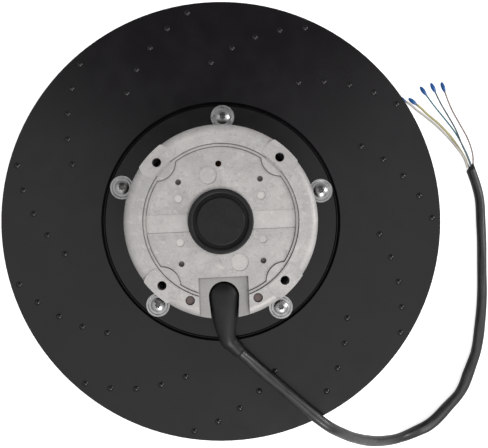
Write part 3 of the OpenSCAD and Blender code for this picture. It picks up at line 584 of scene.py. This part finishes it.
def swept_tube(name, path, section, sides):
    """A closed tube along path. section(i, turn) gives a point's offsets to the side, up and along."""
    bm = bmesh.new()
    turn = bm.verts.layers.float.new("turn")
    reach = bm.verts.layers.float.new("reach")
    ring = bmesh.ops.create_circle(bm, segments=sides, radius=1.0)["verts"]
    for v in ring:
        v[turn] = math.atan2(v.co.y, v.co.x) % (2 * math.pi)
    heading = directions(path)
    walked = 0.0
    for i, centre in enumerate(path):
        if i:
            walked += (path[i] - path[i - 1]).length
            edges = ring_edges(ring)
            if i == 1:
                bmesh.ops.edgeloop_fill(bm, edges=edges)
            made = bmesh.ops.extrude_edge_only(bm, edges=edges)["geom"]
            ring = [g for g in made if isinstance(g, bmesh.types.BMVert)]
        side = heading[i].cross(Vector((0, 0, 1))).normalized()
        up = side.cross(heading[i])
        for v in ring:
            across, rise, along = section(i, v[turn])
            v.co = centre + across * side + rise * up + along * heading[i]
            v[reach] = walked
    bmesh.ops.edgeloop_fill(bm, edges=ring_edges(ring))
    bmesh.ops.recalc_face_normals(bm, faces=bm.faces)
    along_map = bm.loops.layers.uv.new("along")
    for face in bm.faces:
        face.smooth = len(face.verts) == 4
        turns = [loop.vert[turn] for loop in face.loops]
        wraps = max(turns) - min(turns) > math.pi
        for loop, angle in zip(face.loops, turns):
            if wraps and angle < math.pi:
                angle += 2 * math.pi
            loop[along_map].uv = (loop.vert[reach], angle / (2 * math.pi))
    return finished(name, bm)


def turned(name, profile, steps, place):
    """A piece turned about its own axis from (along, radius) points, then put in place."""
    bm = bmesh.new()
    line = [bm.verts.new((radius, 0.0, along)) for along, radius in profile]
    edges = [bm.edges.new(pair) for pair in zip(line, line[1:])]
    bmesh.ops.spin(
        bm, geom=line + edges, cent=(0, 0, 0), axis=(0, 0, 1), dvec=(0, 0, 0),
        angle=2 * math.pi, steps=steps, use_merge=True)
    bmesh.ops.remove_doubles(bm, verts=bm.verts, dist=1e-6)
    bmesh.ops.recalc_face_normals(bm, faces=bm.faces)
    bmesh.ops.transform(bm, matrix=place, verts=bm.verts)
    for face in bm.faces:
        face.smooth = True
    return finished(name, bm)


def finished(name, bm):
    """The object made of a bmesh, which is freed."""
    mesh = bpy.data.meshes.new(name)
    bm.to_mesh(mesh)
    bm.free()
    piece = bpy.data.objects.new(name, mesh)
    bpy.context.scene.collection.objects.link(piece)
    return piece


def dress(piece, slot, body, *nodes):
    """Give a piece its finish and its body, and hide the solids that it stands for."""
    piece.data.materials.clear()
    piece.data.materials.append(finish_of(slot))
    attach(piece, body)
    if nodes:
        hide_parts(*nodes)
    return piece


class PLUGFAN_OT_stage(bpy.types.Operator):
    """Set the camera over the fan, with a pale floor and soft light"""

    bl_idname = "plugfan.stage"
    bl_label = "Set the stage"

    def execute(self, context):
        stage = context.scene.plug_fan_stage
        self.camera(context.scene, stage)
        self.floor(stage)
        self.world(context.scene, stage)
        self.lamp("key", *LAMPS["key"], stage.key_power)
        self.lamp("side", *LAMPS["side"], stage.side_power)
        fill = self.lamp("fill", *LAMPS["fill"], stage.fill_power)
        fill.visible_glossy = False
        context.scene.view_settings.view_transform = "Standard"
        return {"FINISHED"}

    def camera(self, scene, stage):
        data = bpy.data.cameras.new("camera")
        data.lens = stage.lens
        data.sensor_width = 36.0
        data.shift_x = PICTURE_SHIFT[0] / PICTURE_WIDTH
        data.shift_y = PICTURE_SHIFT[1] / PICTURE_WIDTH
        data.clip_start = 0.01
        camera = bpy.data.objects.new("camera", data)
        camera.location = (0.0, 0.0, stage.camera_height)
        camera.rotation_euler = (0.0, 0.0, stage.camera_turn)
        scene.collection.objects.link(camera)
        scene.camera = camera

    def lamp(self, name, place, aim, width, power):
        data = bpy.data.lights.new(name, "AREA")
        data.shape = "DISK"
        data.size = width
        data.energy = power
        lamp = bpy.data.objects.new(name, data)
        lamp.location = place
        lamp.rotation_euler = (Vector(aim) - Vector(place)).to_track_quat("-Z", "Y").to_euler()
        bpy.context.scene.collection.objects.link(lamp)
        return lamp

    def floor(self, stage):
        bm = bmesh.new()
        bmesh.ops.create_grid(bm, x_segments=1, y_segments=1, size=6.0)
        floor = finished("floor", bm)
        finish = Finish("floor_finish", (0.80, 0.80, 0.80), 0.9, specular=0.0)
        finish.tint(finish.noise(3.0), 0.99, 1.01)
        finish.set("Emission Color", (1.0, 1.0, 1.0, 1.0))
        seen, _ = finish.seen_ray()
        glow = finish.math("MULTIPLY", seen, stage.floor_glow)
        finish.join(glow, finish.shader.inputs["Emission Strength"])
        floor.data.materials.append(finish.material)

    def world(self, scene, stage):
        """White overhead and grey round the horizon, with a dark wedge of ceiling behind the fan"""
        world = bpy.data.worlds.new("studio")
        world.use_nodes = True
        nodes = Nodes(world.node_tree)
        back = nodes.tree.nodes["Background"]
        back.inputs["Color"].default_value = (1.0, 1.0, 1.0, 1.0)
        axes = nodes.node("ShaderNodeSeparateXYZ")
        nodes.join(nodes.node("ShaderNodeTexCoord").outputs["Generated"], axes.inputs["Vector"])
        x, y, z = axes.outputs
        wedge = nodes.math("MULTIPLY_ADD", nodes.math("ABSOLUTE", x), -WEDGE_SLOPE, y)
        behind = nodes.span(wedge, 0.0, 1.0, 0.0, 0.05)
        overhead = nodes.span(z, 0.0, 1.0, 0.3, 0.6)
        dark = nodes.math("MULTIPLY", behind, overhead)
        ceiling = nodes.span(dark, 1.0, stage.ceiling, 0.0, 1.0)
        horizon = nodes.span(z, 0.35, 1.0, 0.1, 0.65)
        mirrored = nodes.math("MULTIPLY", ceiling, horizon)
        seen, rays = nodes.seen_ray()
        glossy = rays["Is Glossy Ray"]
        level = nodes.math("MAXIMUM", seen, nodes.math("MULTIPLY", mirrored, glossy))
        plain = nodes.math("SUBTRACT", 1.0, nodes.math("MAXIMUM", seen, glossy))
        strength = nodes.math("MULTIPLY_ADD", plain, stage.ambient, level)
        nodes.join(strength, back.inputs["Strength"])
        scene.world = world


class PLUGFAN_OT_cable(bpy.types.Operator):
    """Make the sleeved cable from the boot over the plate down to the floor"""

    bl_idname = "plugfan.cable"
    bl_label = "Make the cable"

    def execute(self, context):
        half = sizes().sleeve_width / 2
        path = smooth_route(CABLE_ROUTE, spacing=0.004)
        last = len(path) - 1
        step = sizes().sleeve_length / last
        twist = 2 * math.pi * step / sizes().sleeve_twist

        def section(i, turn):
            lobes = 1.0
            for count, depth, speed in SLEEVE_RIDGES:
                lobes -= depth * (1.0 + math.cos(count * turn + speed * twist * i))
            right, left = between(SLEEVE_BULGES, step * i)
            side = math.cos(turn)
            reach = half * lobes + (right if side > 0 else left) * side * side
            slant = SLEEVE_SLANT * side if i == last else 0.0
            return reach * side, max(reach * math.sin(turn), -half), slant

        cable = swept_tube("cable_sleeve", path, section, sides=28)
        dress(cable, "cable_sleeve", "stator", "power_cable")
        return {"FINISHED"}


class PLUGFAN_OT_leads(bpy.types.Operator):
    """Make the five leads that come out of the sleeve, each with its insulated end"""

    bl_idname = "plugfan.leads"
    bl_label = "Make the leads"

    def execute(self, context):
        for key, route in LEAD_ROUTES.items():
            half = LEAD_WIDTHS[key] * sizes().lead_width / 2
            path = smooth_route(route, spacing=0.003)
            heading = directions(path)
            end = self.insulated_end(key, path[-1], heading[-1])

            def section(i, turn):
                return half * math.cos(turn), half * math.sin(turn), 0.0

            lead = swept_tube("lead_wire_" + key, path, section, sides=12)
            dress(lead, "lead_" + key, "stator", "lead_" + key)
        return {"FINISHED"}

    def insulated_end(self, key, start, heading):
        wide = sizes().end_width / 2
        long = sizes().end_length
        flat = Vector((heading.x, heading.y, 0.0)).normalized()
        place = Matrix.Translation(start) @ flat.to_track_quat("Z", "Y").to_matrix().to_4x4()
        profile = [(along * long, share * wide) for along, share in LEAD_END_SHAPE]
        end = turned("lead_cap_" + key, profile, sizes().round_steps, place)
        return dress(end, "end_blue", "stator", "lead_end_" + key)


class PLUGFAN_OT_boot(bpy.types.Operator):
    """Make the rubber boot that leads the cable out of the flange"""

    bl_idname = "plugfan.boot"
    bl_label = "Make the boot"

    def execute(self, context):
        half_width = 0.5 * sizes().boot_width
        half_height = 0.5 * sizes().boot_height
        path = smooth_route(BOOT_ROUTE, spacing=0.0016)
        last = len(path) - 1

        def section(i, turn):
            top, foot, high = between(BOOT_SHAPE, i / last)
            power = BOOT_ROOT_POWER + (1.0 - BOOT_ROOT_POWER) * i / last
            side, rise = (math.copysign(abs(v) ** power, v) for v in (math.cos(turn), math.sin(turn)))
            wide = top + (foot - top) * (0.5 - 0.5 * rise)
            return half_width * wide * side, half_height * high * rise, 0.0

        boot = swept_tube("outlet_boot", path, section, sides=40)
        dress(boot, "black_rubber", "stator", "cable_boot")
        return {"FINISHED"}


class PLUGFAN_OT_finishes(bpy.types.Operator):
    """Give every solid of the fan the finish that the record names"""

    bl_idname = "plugfan.finishes"
    bl_label = "Paint the solids"

    def execute(self, context):
        for part in frame["record"]["subparts"]:
            solid = frame["nodes"][part["node"]]
            if not solid.material_slots:
                solid.data.materials.append(None)
            for slot in solid.material_slots:
                slot.material = finish_of(part["material_slot"])
        return {"FINISHED"}


class PLUGFAN_PT_panel(bpy.types.Panel):
    """Tools and settings of the plug fan"""

    bl_idname = "PLUGFAN_PT_panel"
    bl_label = "Plug fan"
    bl_space_type = "VIEW_3D"
    bl_region_type = "UI"
    bl_category = "Plug fan"

    def draw(self, context):
        for tool in TOOLS:
            self.layout.operator(tool.bl_idname)
        for name, kind in GROUPS.items():
            box = self.layout.box()
            for setting in kind.__annotations__:
                box.prop(getattr(context.scene, name), setting)


GROUPS = {
    "plug_fan_colours": PlugFanColours,
    "plug_fan_sizes": PlugFanSizes,
    "plug_fan_stage": PlugFanStage,
}
TOOLS = (PLUGFAN_OT_stage, PLUGFAN_OT_cable, PLUGFAN_OT_leads, PLUGFAN_OT_boot, PLUGFAN_OT_finishes)


def register():
    for kind in (*GROUPS.values(), *TOOLS, PLUGFAN_PT_panel):
        bpy.utils.register_class(kind)
    for name, kind in GROUPS.items():
        setattr(bpy.types.Scene, name, PointerProperty(type=kind))


def unregister():
    for name in GROUPS:
        delattr(bpy.types.Scene, name)
    for kind in (PLUGFAN_PT_panel, *reversed(TOOLS), *reversed(list(GROUPS.values()))):
        bpy.utils.unregister_class(kind)


def main():
    register()
    bpy.ops.plugfan.stage()
    bpy.ops.plugfan.cable()
    bpy.ops.plugfan.leads()
    bpy.ops.plugfan.boot()
    bpy.ops.plugfan.finishes()


if __name__ == "__main__":
    main()
